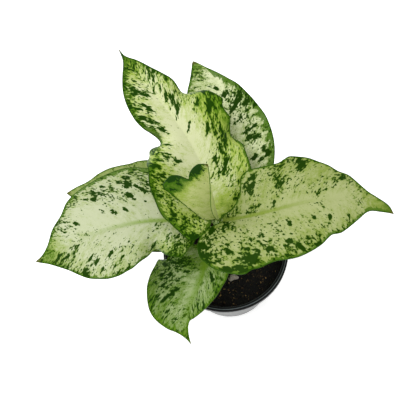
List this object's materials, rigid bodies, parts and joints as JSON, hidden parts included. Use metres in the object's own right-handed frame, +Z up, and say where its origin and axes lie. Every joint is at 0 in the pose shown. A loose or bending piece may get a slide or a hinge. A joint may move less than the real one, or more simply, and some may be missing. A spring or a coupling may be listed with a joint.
{
  "type": "potted dieffenbachia",
  "caption": "Variegated broad-leaved house plant: large cream and green leaves on channelled stalks round a short cane, in soil in a black nursery pot.",
  "frame": {"origin": "centre of the pot's flat base, on the surface it stands on", "axes": "+Z up along the pot's axis; -Y towards the picture's viewer, +X to the viewer's right"},
  "size_m": [0.2938, 0.2401, 0.2452],
  "materials": {
    "black_plastic": "semi-gloss black moulded plastic",
    "potting_soil": "matt dark potting soil with brown crumbs and a pale perlite lump",
    "cane_green": "smooth green living cane",
    "stalk_green": "smooth pale green leaf stalk",
    "leaf_centre_green": "satin living leaf, cream to pale green with dark green flecks and margin",
    "leaf_right_green": "satin living leaf, cream to pale green with dark green flecks and margin",
    "leaf_left_green": "satin living leaf, cream to pale green with dark green flecks and margin",
    "leaf_back_green": "satin living leaf, cream to pale green with dark green flecks and margin",
    "leaf_front_green": "satin living leaf, cream to pale green with dark green flecks and margin",
    "leaf_under_green": "satin living leaf, cream to pale green with dark green flecks and margin",
    "leaf_young_green": "satin living leaf, cream to pale green with dark green flecks and margin"
  },
  "bodies": {
    "root": {"pot": "black_plastic", "soil": "potting_soil", "cane": "cane_green", "leaf_centre": "leaf_centre_green", "leaf_right": "leaf_right_green", "leaf_left": "leaf_left_green", "leaf_back": "leaf_back_green", "leaf_front": "leaf_front_green", "leaf_under": "leaf_under_green", "leaf_young": "leaf_young_green", "stalk_centre": "stalk_green", "stalk_right": "stalk_green", "stalk_left": "stalk_green", "stalk_back": "stalk_green", "stalk_front": "stalk_green", "stalk_under": "stalk_green", "stalk_young": "stalk_green"}
  },
  "joints": []
}
